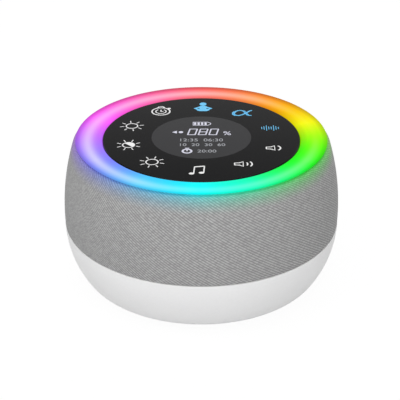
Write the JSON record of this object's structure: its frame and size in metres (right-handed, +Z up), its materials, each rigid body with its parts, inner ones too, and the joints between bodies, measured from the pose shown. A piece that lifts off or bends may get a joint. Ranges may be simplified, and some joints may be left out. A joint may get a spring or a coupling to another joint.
{
  "type": "white noise sound machine",
  "caption": "Round bedside sound machine with a touch panel in a lit ring, a cloth-covered side, a plastic bowl and a loudspeaker inside.",
  "frame": {"origin": "on the table, on the machine's upright axis, under the middle of the foot ring", "axes": "+Z up; the front is towards -Y and the power inlet towards +Y"},
  "size_m": [0.11, 0.11, 0.0598],
  "materials": {
    "white_plastic": "fine satin moulding",
    "rubber": "matt",
    "screw_steel": "plated",
    "black_plastic": "moulded",
    "cloth": "plain woven, grey",
    "milky_diffuser": "milky, lit from below",
    "black_glass": "polished",
    "adhesive": "foam tape",
    "clear_film": "printed film",
    "display_glass": "lit display",
    "circuit_board": "solder mask",
    "lamp": "lens over a white package",
    "chip_black": "moulded packages",
    "socket_cream": "moulded sockets",
    "basket_metal": "black coated",
    "plated_steel": "zinc plated",
    "ferrite": "sintered",
    "paper_cone": "pressed paper",
    "copper_coil": "lacquered wire",
    "surround_rubber": "moulded roll",
    "spider_cloth": "resin-dipped",
    "cell_can": "wrapped can",
    "foam": "open cell",
    "inlet_steel": "stamped shell",
    "white_key": "satin, moulded"
  },
  "bodies": {
    "housing": {"base_shell": "white_plastic", "foot_ring": "rubber", "base_screws": "screw_steel", "grille_shell": "black_plastic", "fabric_sleeve": "cloth", "top_frame": "white_plastic", "frame_screws": "screw_steel", "led_board": "circuit_board", "led_chips": "lamp", "light_ring": "milky_diffuser", "touch_panel": "black_glass", "panel_tape": "adhesive", "touch_film": "clear_film", "display_module": "display_glass", "control_board": "circuit_board", "control_board_screws": "screw_steel", "control_chips": "chip_black", "ribbon_cable": "clear_film", "baffle_plate": "black_plastic", "baffle_screws": "screw_steel", "speaker_basket": "basket_metal", "speaker_screws": "screw_steel", "speaker_gasket": "foam", "speaker_top_plate": "plated_steel", "speaker_magnet": "ferrite", "speaker_yoke": "plated_steel", "cone_surround": "surround_rubber", "speaker_spider": "spider_cloth", "speaker_terminals": "circuit_board", "main_board": "circuit_board", "main_board_screws": "screw_steel", "main_chips": "chip_black", "board_capacitors": "cell_can", "lead_sockets": "socket_cream", "usb_socket": "inlet_steel", "switch_body": "chip_black", "battery_cell": "cell_can", "battery_foam": "foam", "speaker_lead": "rubber", "battery_lead": "rubber"},
    "power_key": {"power_button": "white_key", "switch_plunger": "socket_cream"},
    "cone_assembly": {"speaker_cone": "paper_cone", "dust_cap": "paper_cone", "voice_coil": "copper_coil"}
  },
  "joints": [
    {"name": "power_key_push", "type": "slide", "parent": "housing", "child": "power_key", "axis": [0, -1, 0], "range_m": [0, 0.0005], "stiffness_N_per_m": 600, "springref_m": -0.0015},
    {"name": "cone_travel", "type": "slide", "parent": "housing", "child": "cone_assembly", "axis": [0, 0, 1], "range_m": [-0.0015, 0.0015], "stiffness_N_per_m": 1500, "deforming": ["cone_surround", "speaker_spider"]}
  ]
}
